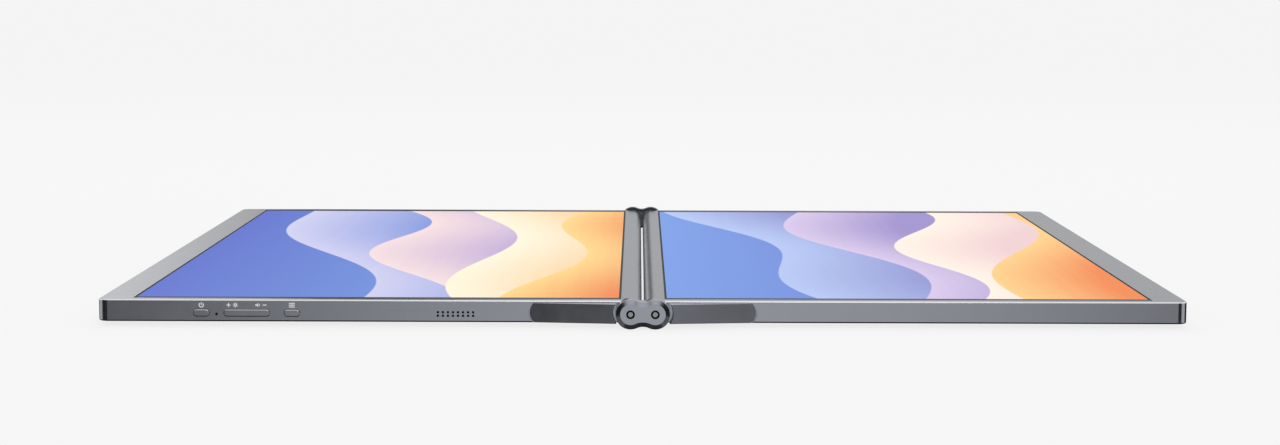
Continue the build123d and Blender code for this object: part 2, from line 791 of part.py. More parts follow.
def make_fairing(side, end):
    """Wedge on the end wall: level with it at its outer end, proud of it beside the link."""
    hinge_x = pivot_x + fairing_inner_radius
    slope = (fairing_hinge_proud - fairing_outer_proud) / (fairing_reach - hinge_x)
    front_point = (side * fairing_reach, end * (panel_end_y + fairing_outer_proud), pivot_z)
    front_plane = Plane(origin=front_point, z_dir=(side * slope, end, 0))
    with BuildPart() as fairing:
        with BuildSketch(section(end * fairing_back_y)):
            make_face(fairing_outline(side, 0, 0).edges())
        extrude(amount=-end * (fairing_seat + 2 * fairing_hinge_proud))
        split(bisect_by=front_plane, keep=Keep.BOTTOM)
        front = fairing.faces().sort_by(Axis.Y)[0 if end == NEAR else -1]
        hinge_edge = front.edges().sort_by(Axis.X)[0 if side == RIGHT else -1]
        fillet(front.edges().filter_by(GeomType.LINE) + [hinge_edge], fairing_round)
        for x in peg_places(side):
            rod_along_y(x, middle_z, (end * inside_end_y, end * fairing_back_y), peg_radius)
    return fairing


# Controls
def make_button(x, width):
    """Pill-shaped key with a flange behind the wall."""
    with BuildPart() as button:
        face_y = -(panel_end_y + control_proud)
        pill(x, control_z, (face_y, -flange_front_y), width, control_height)
        rim = button.faces().sort_by(Axis.Y)[0].edges()
        fillet(rim, control_proud)
        flange_width = width + 2 * flange_reach
        flange_height = control_height + 2 * flange_reach
        pill(x, control_z, (-flange_front_y, -flange_back_y), flange_width, flange_height)
    return button


def make_rocker():
    """Long key that tips to either side on a pin through the lug at its back."""
    key = make_button(rocker_x, rocker_width)
    lug_x = (rocker_x - lug_half_width, rocker_x + lug_half_width)
    lug_y = (-flange_back_y, -flange_back_y + lug_depth)
    lug_z = (button_board_top_z - lug_clearance, control_z + control_height / 2)
    with BuildPart() as rocker:
        add(key.part)
        block(lug_x, lug_y, lug_z)
        hole_radius = rocker_pin_radius + running_fit
        rod_along_z(rocker_x, -rocker_pin_y, lug_z, hole_radius, Mode.SUBTRACT)
    return rocker


def make_rocker_pin():
    """Upright pin of the rocker, held in the button holder."""
    with BuildPart() as pin:
        rod_along_z(rocker_x, -rocker_pin_y, (cover_z, cover_z + rocker_pin_height), rocker_pin_radius)
    return pin


def make_button_holder():
    """Plastic tray behind the keys, with a hole for the rocker's pin."""
    tray_y = (-switch_front_y, -button_board_inner_y)
    with BuildPart() as holder:
        block((holder_left_x, holder_right_x), tray_y, (cover_z, holder_top_z))
        pin_z = (cover_z, holder_top_z)
        rod_along_z(rocker_x, -rocker_pin_y, pin_z, rocker_pin_radius + seat_fit, Mode.SUBTRACT)
    return holder


def make_button_board():
    """Board on the holder, notched for the rocker's lug, with the lamp of the status light."""
    board_y = (-switch_front_y, -button_board_inner_y)
    notch = lug_half_width + lug_clearance
    with BuildPart() as board:
        block((holder_left_x, holder_right_x), board_y, (holder_top_z, button_board_top_z))
        notch_y = (-switch_front_y, -flange_back_y + lug_depth + lug_clearance)
        notch_z = (holder_top_z, button_board_top_z)
        block((rocker_x - notch, rocker_x + notch), notch_y, notch_z, Mode.SUBTRACT)
        lamp_x = (light_x - light_radius, light_x + light_radius)
        lamp_y = (-switch_front_y, -switch_front_y + 2 * light_radius)
        block(lamp_x, lamp_y, (button_board_top_z, button_board_top_z + 2 * light_radius))
    return board


def make_switches():
    """One switch behind each button and one behind each end of the rocker."""
    half_pitch = rocker_switch_pitch / 2
    half_width = switch_width / 2
    switch_y = (-switch_front_y, -switch_front_y + switch_depth)
    switch_z = (button_board_top_z, button_board_top_z + switch_height)
    with BuildPart() as switches:
        for x in (power_x, rocker_x - half_pitch, rocker_x + half_pitch, menu_x):
            block((x - half_width, x + half_width), switch_y, switch_z)
    return switches


def make_status_light():
    """Clear rod that leads the lamp's light through the wall."""
    light_y = (-panel_end_y, -(switch_front_y + screw_hole_gap))
    with BuildPart() as light:
        rod_along_y(light_x, bottom_z + light_rise, light_y, light_radius)
    return light


# Speakers
def make_speaker(end):
    """Flat speaker box on the cover, firing through an end wall."""
    half_length = speaker_length / 2
    speaker_ends = (speaker_x - half_length, speaker_x + half_length)
    speaker_y = (end * (speaker_front_y - speaker_depth), end * speaker_front_y)
    with BuildPart() as speaker:
        block(speaker_ends, speaker_y, (cover_z, backlight_z - stand_off))
    return speaker


def make_speaker_meshes():
    """Dust mesh between each speaker and its wall."""
    half_length = (grille_columns - 1) * grille_column_pitch / 2 + mesh_margin
    half_height = (grille_rows - 1) * grille_row_pitch / 2 + grille_hole_radius + mesh_thickness
    mesh_x = (speaker_x - half_length, speaker_x + half_length)
    mesh_z = (grille_z - half_height, grille_z + half_height)
    with BuildPart() as meshes:
        for end in (NEAR, FAR):
            block(mesh_x, (end * speaker_front_y, end * inside_end_y), mesh_z)
    return meshes


# Main board and sockets
def make_main_board():
    """Board on the cover's posts, notched round the sockets."""
    with BuildPart() as board:
        board_z = (board_bottom_z, board_top_z)
        block((board_left_x, board_right_x), (board_near_y, board_far_y), board_z)
        for x, width, depth in socket_list():
            half = width / 2 + fit_gap
            notch_y = (socket_mouth_y - depth - fit_gap, board_far_y)
            block((x - half, x + half), notch_y, board_z, Mode.SUBTRACT)
        for x, y in board_screw_places():
            rod_along_z(x, y, board_z, board_screw_radius + screw_hole_gap, Mode.SUBTRACT)
    return board


def make_board_chips():
    """Processor, coils and the two cable sockets on the main board."""
    middle_y = (board_near_y + board_far_y) / 2
    chip_z = (board_top_z, board_top_z + chip_height)
    half_chip = processor_side / 2
    half_coil = coil_side / 2
    half_socket = connector_width / 2
    socket_y = (cable_y - half_socket, cable_y + half_socket)
    socket_z_ends = (board_top_z, connector_top_z)
    processor_x = (board_x - half_chip, board_x + half_chip)
    processor_y = (middle_y - half_chip, middle_y + half_chip)
    with BuildPart() as chips:
        block(processor_x, processor_y, chip_z)
        for count in range(coil_count):
            x = board_x + (count - (coil_count - 1) / 2) * coil_pitch
            y = board_near_y + board_screw_inset + half_coil
            block((x - half_coil, x + half_coil), (y - half_coil, y + half_coil), chip_z)
        block((board_left_x, board_left_x + connector_length), socket_y, socket_z_ends)
        block((board_right_x - connector_length, board_right_x), socket_y, socket_z_ends)
    return chips


def make_board_screws():
    """Four screws through the main board into the cover's posts."""
    with BuildPart() as screws:
        for x, y in board_screw_places():
            rod_along_z(x, y, (board_top_z, board_top_z + board_screw_head), board_screw_head_radius)
            rod_along_z(x, y, (bottom_z + foot_recess + fit_gap, board_top_z), board_screw_radius)
    return screws


def make_usb_c_sockets():
    """Two oval sockets, each with a flat tongue inside."""
    back_y = socket_mouth_y - usb_c_depth
    floor_y = back_y + 2 * socket_shell
    half_tongue = usb_c_tongue_width / 2
    half_thick = usb_c_tongue_thickness / 2
    inner_width = usb_c_width - 2 * socket_shell
    inner_height_c = usb_c_height - 2 * socket_shell
    with BuildPart() as sockets:
        for x in (usb_c_first_x, usb_c_second_x):
            pill(x, socket_z, (back_y, socket_mouth_y), usb_c_width, usb_c_height)
            pill(x, socket_z, (floor_y, socket_mouth_y), inner_width, inner_height_c, Mode.SUBTRACT)
            tongue_y = (floor_y, floor_y + usb_c_tongue_length)
            tongue_z = (socket_z - half_thick, socket_z + half_thick)
            block((x - half_tongue, x + half_tongue), tongue_y, tongue_z)
    return sockets


def make_mini_hdmi_socket():
    """Flat socket with its two lower corners cut off, and a tongue inside."""
    back_y = socket_mouth_y - mini_hdmi_depth
    half_tongue = mini_hdmi_tongue_width / 2
    half_thick = usb_c_tongue_thickness / 2
    with BuildPart() as socket:
        with BuildSketch(section(back_y)) as outline:
            with Locations((mini_hdmi_x, socket_z)):
                Rectangle(mini_hdmi_width, mini_hdmi_height)
            chamfer(outline.vertices().group_by(Axis.Y)[0], mini_hdmi_corner)
        extrude(amount=-mini_hdmi_depth)
        with BuildSketch(section(back_y + 2 * socket_shell)) as mouth:
            with Locations((mini_hdmi_x, socket_z)):
                Rectangle(mini_hdmi_width - 2 * socket_shell, mini_hdmi_height - 2 * socket_shell)
            chamfer(mouth.vertices().group_by(Axis.Y)[0], mini_hdmi_corner)
        extrude(amount=-(mini_hdmi_depth - 2 * socket_shell), mode=Mode.SUBTRACT)
        tongue_x = (mini_hdmi_x - half_tongue, mini_hdmi_x + half_tongue)
        tongue_y = (back_y + 2 * socket_shell, back_y + 2 * socket_shell + usb_c_tongue_length)
        block(tongue_x, tongue_y, (socket_z - half_thick, socket_z + half_thick))
    return socket


# Cables, held in the panels and the far link
def make_panel_cable(side):
    """From a board's socket along the backlight, round into the hinge rail and out of the far shaft."""
    start_x = board_right_x if side == LEFT else backlight_outer_x
    with BuildPart() as cable:
        with BuildLine() as path:
            FilletPolyline(
                (start_x, cable_y, pivot_z),
                (side * pivot_x, cable_y, pivot_z),
                (side * pivot_x, hollow_end_y, pivot_z),
                radius=cable_bend,
            )
        with BuildSketch(Plane(origin=path.line @ 0, z_dir=path.line % 0)):
            Circle(cable_radius)
        sweep()
    return cable


def make_link_cable():
    """Loop of the cable inside the far link, from shaft to shaft."""
    loop_y = hollow_end_y + loop_straight + loop_bend
    with BuildPart() as cable:
        with BuildLine() as path:
            FilletPolyline(
                (-pivot_x, hollow_end_y, pivot_z),
                (-pivot_x, loop_y, pivot_z),
                (pivot_x, loop_y, pivot_z),
                (pivot_x, hollow_end_y, pivot_z),
                radius=loop_bend,
            )
        with BuildSketch(Plane(origin=path.line @ 0, z_dir=path.line % 0)):
            Circle(cable_radius)
        sweep()
    return cable


def make_screen_ribbon():
    """Flat cable from the main board to the left screen's driver board."""
    half_width = ribbon_width / 2
    half_thick = ribbon_thickness / 2
    ribbon_y = (cable_y - half_width, cable_y + half_width)
    with BuildPart() as ribbon:
        block((-backlight_outer_x, board_left_x), ribbon_y, (pivot_z - half_thick, pivot_z + half_thick))
    return ribbon


# All pieces, one file each
os.makedirs("parts", exist_ok=True)

for side, side_name in SIDE_NAMES.items():
    save(make_frame(side), f"{side_name}_frame")
    save(make_cover(side), f"{side_name}_rear_cover")
    save(make_cover_screws(side), f"{side_name}_cover_screws")
    save(make_feet(side), f"{side_name}_feet")
    save(make_cell(side), f"{side_name}_lcd_cell")
    save(make_gasket(side), f"{side_name}_screen_gasket")
    save(make_backlight(side), f"{side_name}_backlight")
    save(make_driver_board(side), f"{side_name}_driver_board")
    save(make_bracket_screws(side), f"{side_name}_bracket_screws")
    save(make_near_shaft(side), f"{side_name}_shaft_near")
    save(make_far_shaft(side), f"{side_name}_shaft_far")
    save(make_washers(side), f"{side_name}_spring_washers")
    save(make_nut(side), f"{side_name}_lock_nut")
    save(make_clip(side), f"{side_name}_shaft_clip")
    save(make_panel_cable(side), f"{side_name}_hinge_cable")
    for end, end_name in END_NAMES.items():
        save(make_bracket(side, end), f"{side_name}_bracket_{end_name}")
        save(make_fairing(side, end), f"{side_name}_fairing_{end_name}")

for end, end_name in END_NAMES.items():
    save(make_link_cap(end), f"link_cap_{end_name}")
    save(make_speaker(end), f"speaker_{end_name}")

save(make_link_plates(), "link_plates")
save(make_link_cable(), "link_cable")
save(make_button(power_x, control_width), "power_button")
save(make_rocker(), "rocker_button")
save(make_button(menu_x, control_width), "menu_button")
save(make_rocker_pin(), "rocker_pin")
save(make_button_holder(), "button_holder")
save(make_button_board(), "button_board")
save(make_switches(), "button_switches")
save(make_status_light(), "status_light")
save(make_speaker_meshes(), "speaker_meshes")
save(make_main_board(), "main_board")
save(make_board_chips(), "main_board_chips")
save(make_board_screws(), "main_board_screws")
save(make_usb_c_sockets(), "usb_c_sockets")
save(make_mini_hdmi_socket(), "mini_hdmi_socket")
save(make_screen_ribbon(), "screen_ribbon")
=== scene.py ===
import json
from math import cos, pi, radians, sin
from typing import NamedTuple

import bmesh
import bpy
from mathutils import Euler, Matrix, Vector


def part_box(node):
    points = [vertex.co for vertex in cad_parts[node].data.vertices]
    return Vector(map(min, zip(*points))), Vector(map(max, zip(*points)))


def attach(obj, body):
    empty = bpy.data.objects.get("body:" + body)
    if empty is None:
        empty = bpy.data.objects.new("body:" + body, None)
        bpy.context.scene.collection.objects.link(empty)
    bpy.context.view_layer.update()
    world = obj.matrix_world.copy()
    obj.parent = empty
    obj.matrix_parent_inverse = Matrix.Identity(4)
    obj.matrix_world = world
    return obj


# Dual portable monitor, open flat: materials, key symbols, floor, light and camera.
# Metres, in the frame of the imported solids: X across the hinge, Y along it, Z up.

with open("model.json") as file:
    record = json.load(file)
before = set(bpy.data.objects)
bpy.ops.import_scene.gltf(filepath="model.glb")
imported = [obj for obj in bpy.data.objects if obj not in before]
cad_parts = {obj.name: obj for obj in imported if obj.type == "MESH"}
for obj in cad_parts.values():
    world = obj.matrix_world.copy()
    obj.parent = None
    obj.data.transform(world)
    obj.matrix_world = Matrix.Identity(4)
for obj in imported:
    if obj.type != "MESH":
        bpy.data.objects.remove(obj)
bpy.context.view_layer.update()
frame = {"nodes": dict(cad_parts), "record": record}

MM = 0.001

# Places on the panels, from the solids
frame_low, frame_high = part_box("left_frame")
cell_low, cell_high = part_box("right_lcd_cell")
wall_face_y = frame_low.y  # near wall of the left panel
panel_bottom_z = frame_low.z
panel_top_z = frame_high.z
edge_round = 0.65 * MM
key_flange = 0.4 * MM  # round each key, behind the wall
key_top_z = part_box("power_button")[1].z - key_flange
key_highlight_height = 0.5 * MM  # height of the painted highlight on a key's upper rim
cell_border = 3.4 * MM  # unlit ends of a screen, beyond its picture
dark_side = 0.3 * MM  # unlit line along the sides of a picture
socket_places = [mount["pos_m"] for mount in frame["record"]["mounts"] if mount["kind"] == "other"]
tongue_half_width = 4.0 * MM
tongue_half_height = 0.4 * MM

# Symbols printed above the keys
symbol_rise = 6.65 * MM  # middle of the symbols above the underside of the panel
symbol_height = 2.1 * MM
symbol_stroke = 0.4 * MM
symbol_proud = 0.02 * MM
rocker_symbol_reach = 5.8 * MM  # from the middle of the rocker to the symbols at its ends

# Camera, from the photograph's edges: focal length in pixels, angles in degrees
image_width = 1280
focal_pixels = 2441.8
sensor_width = 36.0
camera_place = Vector((-2.21, -1142.3, 143.14)) * MM
camera_pitch = 6.006
camera_yaw = 0.056
camera_roll = 0.187

# Floor and surroundings
backdrop_level = 0.913  # sRGB 245
ambient_level = 0.8
ceiling_level = 1.0
underside_level = 0.04
ceiling_edge = (0.17, 0.4)  # sine of the rise where the pale ground turns into the ceiling
underside_edge = (-0.58, -0.7)  # sine of the rise where the dark under the object starts
floor_reach = 14.0
floor_colour = 0.8
floor_glow = 0.96
floor_glow_share = 0.84  # of what the camera sees of the floor; the rest is lit and holds the shadow


class Softbox(NamedTuple):
    """Soft rectangular lamp that points at a target."""
    name: str
    place: tuple
    target: tuple
    size: tuple
    power: float


softboxes = [
    Softbox(
        "overhead_softbox", place=(0.0, 0.6, 1.1), target=(0.0, 0.0, 0.0), size=(1.2, 0.8), power=3.5
    ),
    Softbox(
        "front_softbox", place=(0.08, -1.35, 0.3), target=(0.02, 0.0, 0.0), size=(0.45, 0.25), power=0.6
    ),
]


class Flag(NamedTuple):
    """Dark card that the metal mirrors. A range says where it starts, is full, fades again and ends."""
    bearings: tuple  # degrees to the right, from straight before or straight behind the object
    heights: tuple  # sine of the rise
    share: float  # of the light that the card takes


# Heights of the flags, and bearings of those before and behind the object
tall = (-0.3, -0.22, 0.4, 0.55)
deep = (-0.7, -0.58, 0.17, 0.4)
low = (-0.29, -0.2, 0.0, 0.1)
foot = (-0.7, -0.58, -0.3, -0.22)
skirting = (-0.26, -0.16, -0.08, 0.0)
front_left = (-78, -72, -18, 1)
front_right = (3, 22.5, 50, 55)
back_left = (-56, -50, -31, -20)
back_right = (20, 32, 80, 84)
back_wall = (-13.5, -8, 20, 32)
back_post = (-9, -7.2, -6, -0.5)
back_middle = (-32, -20, 20, 32)
front_flags = [
    Flag(front_left, tall, share=0.97),
    Flag(front_left, foot, share=0.75),
    Flag(front_right, tall, share=0.97),
    Flag(front_right, foot, share=0.75),
]
back_flags = [
    Flag(back_left, low, share=0.97),
    Flag(back_right, low, share=0.97),
    Flag(back_wall, deep, share=0.39),
    Flag(back_post, deep, share=0.85),
    Flag(back_middle, skirting, share=0.95),
]


# Colours
def linear(red, green, blue):
    """Colour given as it looks on screen, 0 to 255, as the linear values that shaders take."""
    values = []
    for channel in (red, green, blue):
        share = channel / 255
        values.append(share / 12.92 if share <= 0.04045 else ((share + 0.055) / 1.055) ** 2.4)
    return (*values, 1.0)


def scaled(colour, factor):
    """The same colour, darker or lighter."""
    return (*[channel * factor for channel in colour[:3]], 1.0)


def grey(level):
    """Neutral colour of one level."""
    return (level, level, level, 1.0)


# Node helpers
MIX_SHARE, MIX_FIRST, MIX_SECOND, MIX_RESULT = 0, 6, 7, 2  # the Mix node's sockets for colours
noise_range = (0.3, 0.7)  # where most of a noise's values lie


class Tree:
    """Adds nodes to a node tree and links them as they are made."""

    def __init__(self, node_tree):
        self.nodes = node_tree.nodes
        self.links = node_tree.links
        self.nodes.clear()

    def set(self, socket, value):
        """Links a socket to another node's output, or gives it a fixed value."""
        if isinstance(value, bpy.types.NodeSocket):
            self.links.new(value, socket)
        else:
            socket.default_value = value

    def add(self, kind, inputs=None, **settings):
        """New node with its settings and inputs."""
        node = self.nodes.new(kind)
        for name, value in settings.items():
            setattr(node, name, value)
        for key, value in (inputs or {}).items():
            self.set(node.inputs[key], value)
        return node

    def math(self, operation, first, second=0.0):
        """Result of one calculation."""
        node = self.add("ShaderNodeMath", {0: first, 1: second}, operation=operation)
        return node.outputs["Value"]

    def distance(self, value, place):
        """How far a value lies from a place, on either side."""
        return self.math("ABSOLUTE", self.math("SUBTRACT", value, place))

    def spread(self, value, low, high, to_low=0.0, to_high=1.0, smooth=False):
        """Maps low..high of a value to another range."""
        kind = "SMOOTHSTEP" if smooth else "LINEAR"
        inputs = dict(enumerate((value, low, high, to_low, to_high)))
        return self.add("ShaderNodeMapRange", inputs, interpolation_type=kind).outputs["Result"]

    def window(self, value, bounds):
        """One between the two middle bounds, fading to nothing at the outer ones."""
        start, full, last, end = bounds
        rise = self.spread(value, start, full, smooth=True)
        return self.math("MULTIPLY", rise, self.spread(value, end, last, smooth=True))

    def mix(self, share, first, second):
        """Mixes two colours."""
        inputs = {MIX_SHARE: share, MIX_FIRST: first, MIX_SECOND: second}
        return self.add("ShaderNodeMix", inputs, data_type="RGBA").outputs[MIX_RESULT]

    def coordinates(self, kind):
        """One of the texture coordinates."""
        return self.add("ShaderNodeTexCoord").outputs[kind]

    def axes(self, vector):
        """X, Y and Z of a vector."""
        return self.add("ShaderNodeSeparateXYZ", {"Vector": vector}).outputs

    def place(self):
        """Position on the piece, which stays with the piece as it moves."""
        return self.coordinates("Object")

    def grain(self, size, detail=2.0, stretch=(1.0, 1.0, 1.0)):
        """Noise with lumps of about the given size, in metres."""
        scale = [1 / (size * factor) for factor in stretch]
        mapping = self.add("ShaderNodeMapping", {"Vector": self.place(), "Scale": scale})
        inputs = {"Vector": mapping.outputs["Vector"], "Scale": 1.0, "Detail": detail}
        return self.add("ShaderNodeTexNoise", inputs).outputs["Fac"]

    def relief(self, strength, distance, height):
        """Normal of a surface with the given relief."""
        inputs = {"Strength": strength, "Distance": distance, "Height": height}
        return self.add("ShaderNodeBump", inputs).outputs["Normal"]


def start_material(name):
    """New material with one Principled shader."""
    material = bpy.data.materials.new(name)
    material.use_nodes = True
    tree = Tree(material.node_tree)
    shader = tree.add("ShaderNodeBsdfPrincipled")
    tree.add("ShaderNodeOutputMaterial", {"Surface": shader.outputs["BSDF"]})
    return material, tree, shader


# Fine-grained surfaces
cloud_grains = 60  # width of the slow cloud, in grains
cloud_detail = 3.0
fine_share = 0.6  # of the variation; the cloud makes the rest
rough_spread = 0.06  # roughness varies by this much either way
relief_depth = 1 / 8  # in grains

# Painted highlight on the upper rounded edges of panels and keys, painted shade on the lower rounded
# edges of panels, and how far up these faces point
# Colour of the painted highlight, standing in for the bright reflection on upper rounded edges
painted_highlight_colour = linear(225, 226, 229)
highlight_lean = (0.1, 0.25, 0.78, 0.85)
# Colour of the painted shade, standing in for the dark reflection of the shadow under the object
painted_shade_colour = linear(12, 12, 14)
shade_lean = (-0.995, -0.98, -0.2, -0.05)


def rounded_edge(tree, comparison, limit, lean):
    """Mask for the painted highlight and the painted shade: one on rounded edges above or below the
    given height, and nothing on flat faces.
    """
    height = tree.axes(tree.place())["Z"]
    upward = tree.axes(tree.coordinates("Normal"))["Z"]
    beyond = tree.math(comparison, height, limit)
    return tree.math("MULTIPLY", beyond, tree.window(upward, lean))


def surface(
    name, colour, roughness, grain_size, tone=0.05, bump=0.2, metallic=0.0, gloss=0.5,
    bright_above=None, dark_below=None
):
    """Surface whose colour, roughness and relief vary with its grain and with a slow cloud, with a
    painted highlight on rounded edges above one height and painted shade on rounded edges below
    another, where these are given.
    """
    material, tree, shader = start_material(name)
    fine = tree.grain(grain_size)
    cloud = tree.grain(cloud_grains * grain_size, detail=cloud_detail)
    fine_part = tree.math("MULTIPLY", fine, fine_share)
    both = tree.math("ADD", fine_part, tree.math("MULTIPLY", cloud, 1 - fine_share))
    share = tree.spread(both, *noise_range)
    base = tree.mix(share, scaled(colour, 1 - tone), scaled(colour, 1 + tone))
    # Painted highlight on upper rounded edges and painted shade on lower rounded edges, put into the
    # base colour
    if bright_above is not None:
        base = tree.mix(rounded_edge(tree, "GREATER_THAN", bright_above, highlight_lean), base, painted_highlight_colour)
    if dark_below is not None:
        base = tree.mix(rounded_edge(tree, "LESS_THAN", dark_below, shade_lean), base, painted_shade_colour)
    rough = tree.spread(both, *noise_range, roughness - rough_spread, roughness + rough_spread)
    tree.set(shader.inputs["Base Color"], base)
    tree.set(shader.inputs["Roughness"], rough)
    tree.set(shader.inputs["Normal"], tree.relief(bump, relief_depth * grain_size, fine))
    tree.set(shader.inputs["Metallic"], metallic)
    tree.set(shader.inputs["Specular IOR Level"], gloss)
    return material


def metal(name, colour, roughness, grain_size, **more):
    """Bare metal."""
    return surface(name, colour, roughness, grain_size, metallic=1.0, **more)


# Screen pictures: soft overlapping dunes, each lit along its crest, inside an unlit border
class Dune(NamedTuple):
    """Wavy form in a picture, in millimetres, coloured from the crest at its edge to the hollow."""
    edge: float  # from the hinge
    slant: float
    swing: float
    length: float  # of one whole swing
    phase: float
    depth: float  # from crest to hollow
    crest: tuple
    hollow: tuple


LEFT, RIGHT = -1, 1  # sign of X on each panel
TOWARDS_HINGE, AWAY_FROM_HINGE = 1.0, -1.0  # the side of its edge that a dune covers
left_base = [linear(70, 96, 200), linear(122, 166, 234)]
left_dunes = [
    Dune(
        edge=150.0, slant=0.20, swing=14.0, length=330.0, phase=0.4, depth=70.0,
        crest=linear(206, 205, 240), hollow=linear(126, 150, 222)
    ),
    Dune(
        edge=112.0, slant=0.12, swing=17.0, length=290.0, phase=2.1, depth=62.0,
        crest=linear(246, 222, 224), hollow=linear(196, 172, 214)
    ),
    Dune(
        edge=74.0, slant=0.05, swing=15.0, length=360.0, phase=3.9, depth=60.0,
        crest=linear(255, 246, 220), hollow=linear(255, 206, 150)
    ),
    Dune(
        edge=36.0, slant=-0.06, swing=12.0, length=300.0, phase=5.4, depth=52.0,
        crest=linear(255, 214, 130), hollow=linear(236, 112, 34)
    ),
]
right_base = [linear(66, 78, 190), linear(110, 150, 228)]
right_dunes = [
    Dune(
        edge=52.0, slant=-0.16, swing=13.0, length=310.0, phase=1.2, depth=70.0,
        crest=linear(176, 196, 242), hollow=linear(132, 136, 204)
    ),
    Dune(
        edge=96.0, slant=-0.08, swing=17.0, length=350.0, phase=3.3, depth=58.0,
        crest=linear(214, 196, 232), hollow=linear(150, 134, 200)
    ),
    Dune(
        edge=134.0, slant=0.04, swing=15.0, length=280.0, phase=4.6, depth=52.0,
        crest=linear(255, 240, 226), hollow=linear(238, 204, 206)
    ),
    Dune(
        edge=176.0, slant=0.14, swing=12.0, length=320.0, phase=0.2, depth=46.0,
        crest=linear(255, 206, 128), hollow=linear(240, 128, 48)
    ),
]
edge_blur = 0.5  # of a dune, in millimetres
streak_size = 3 * MM
streak_stretch = (1.0, 40.0, 1.0)
streak_shift = 4.0  # of a dune's shading, in millimetres either way
picture_glow = 0.95
unlit_colour = (0.002, 0.002, 0.003, 1.0)
film_grain = 0.25 * MM
film_roughness = (0.42, 0.5)
film_colours = [(0.008, 0.008, 0.01, 1.0), (0.016, 0.016, 0.018, 1.0)]
film_gloss = 0.08


def dune_picture(tree, across, along, base, dunes, covered_way):
    """Colour of the dunes, each over the ones before it. Across and along are in millimetres."""
    picture = tree.mix(tree.spread(across, cell_high.x / MM, cell_low.x / MM), *base)
    streak = tree.grain(streak_size, stretch=streak_stretch)
    streak = tree.spread(streak, 0.0, 1.0, -streak_shift, streak_shift)
    for dune in dunes:
        turn = tree.math("ADD", tree.math("MULTIPLY", along, 2 * pi / dune.length), dune.phase)
        wave = tree.math("MULTIPLY", tree.math("SINE", turn), dune.swing)
        line = tree.math("ADD", wave, tree.math("MULTIPLY", along, dune.slant))
        inward = tree.math("SUBTRACT", tree.math("ADD", line, dune.edge), across)
        beyond = tree.math("MULTIPLY", inward, covered_way)
        shade = tree.spread(tree.math("ADD", beyond, streak), 0.0, dune.depth)
        covered = tree.spread(beyond, 0.0, edge_blur)
        picture = tree.mix(covered, picture, tree.mix(shade, dune.crest, dune.hollow))
    return picture


def screen_picture(name, base, dunes, side, covered_way):
    """Lit picture under a matt anti-glare film."""
    material, tree, shader = start_material(name)
    axes = tree.axes(tree.place())
    across = tree.math("MULTIPLY", axes["X"], side / MM)
    along = tree.math("MULTIPLY", axes["Y"], 1 / MM)
    picture = dune_picture(tree, across, along, base, dunes, covered_way)
    middle = (cell_low.x + cell_high.x) / 2 / MM
    half_height = (cell_high.x - cell_low.x) / 2 - dark_side
    half_length = (cell_high.y - cell_low.y) / 2 - cell_border
    lit_across = tree.math("LESS_THAN", tree.distance(across, middle), half_height / MM)
    lit_along = tree.math("LESS_THAN", tree.math("ABSOLUTE", along), half_length / MM)
    picture = tree.mix(tree.math("MULTIPLY", lit_across, lit_along), unlit_colour, picture)
    film = tree.grain(film_grain)
    tree.set(shader.inputs["Emission Color"], picture)
    tree.set(shader.inputs["Emission Strength"], picture_glow)
    tree.set(shader.inputs["Base Color"], tree.mix(film, *film_colours))
    tree.set(shader.inputs["Roughness"], tree.spread(film, *noise_range, *film_roughness))
    tree.set(shader.inputs["Specular IOR Level"], film_gloss)
    return material


# Sockets, boards and dust meshes
nickel_colours = [linear(168, 166, 160), linear(196, 194, 190)]
nickel_grain = 0.2 * MM
nickel_stretch = (1.0, 12.0, 1.0)
nickel_roughness = (0.24, 0.36)
tongue_colour = linear(22, 22, 24)
track_spacing = 3 * MM
track_edge = (0.04, 0.08)  # share of the spacing where a track ends
board_colours = [linear(70, 112, 82), linear(24, 62, 40)]  # tracks, and the mask between them
board_grain = 0.3 * MM
board_roughness = (0.3, 0.42)
thread_pitch = 0.7 * MM
thread_colours = [linear(6, 6, 7), linear(30, 30, 32)]
thread_roughness = (0.8, 0.55)
thread_bump = 0.4
thread_depth = 0.05 * MM


def socket_finish(name):
    """Nickel shells with dark plastic tongues inside."""
    material, tree, shader = start_material(name)
    axes = tree.axes(tree.place())
    tongue = 0.0
    for x, _, z in socket_places:
        beside = tree.math("LESS_THAN", tree.distance(axes["X"], x), tongue_half_width)
        level = tree.math("LESS_THAN", tree.distance(axes["Z"], z), tongue_half_height)
        tongue = tree.math("MAXIMUM", tongue, tree.math("MULTIPLY", beside, level))
    brushed = tree.grain(nickel_grain, stretch=nickel_stretch)
    nickel = tree.mix(brushed, *nickel_colours)
    tree.set(shader.inputs["Base Color"], tree.mix(tongue, nickel, tongue_colour))
    tree.set(shader.inputs["Metallic"], tree.math("SUBTRACT", 1.0, tongue))
    tree.set(shader.inputs["Roughness"], tree.spread(brushed, *noise_range, *nickel_roughness))
    return material


def board_finish(name):
    """Dark green solder mask with a net of paler tracks."""
    material, tree, shader = start_material(name)
    cells = {"Vector": tree.place(), "Scale": 1 / track_spacing}
    tracks = tree.add("ShaderNodeTexVoronoi", cells, distance="MANHATTAN", feature="DISTANCE_TO_EDGE")
    between = tree.spread(tracks.outputs["Distance"], *track_edge)
    rough = tree.spread(tree.grain(board_grain), *noise_range, *board_roughness)
    tree.set(shader.inputs["Base Color"], tree.mix(between, *board_colours))
    tree.set(shader.inputs["Roughness"], rough)
    return material


def mesh_finish(name):
    """Black woven dust mesh."""
    material, tree, shader = start_material(name)
    threads = {"Vector": tree.place(), "Scale": 1 / thread_pitch}
    warp = tree.add("ShaderNodeTexWave", threads, bands_direction="X").outputs["Fac"]
    weft = tree.add("ShaderNodeTexWave", threads, bands_direction="Z").outputs["Fac"]
    weave = tree.math("MAXIMUM", warp, weft)
    tree.set(shader.inputs["Base Color"], tree.mix(weave, *thread_colours))
    tree.set(shader.inputs["Roughness"], tree.spread(weave, 0.0, 1.0, *thread_roughness))
    tree.set(shader.inputs["Normal"], tree.relief(thread_bump, thread_depth, weave))
    return material


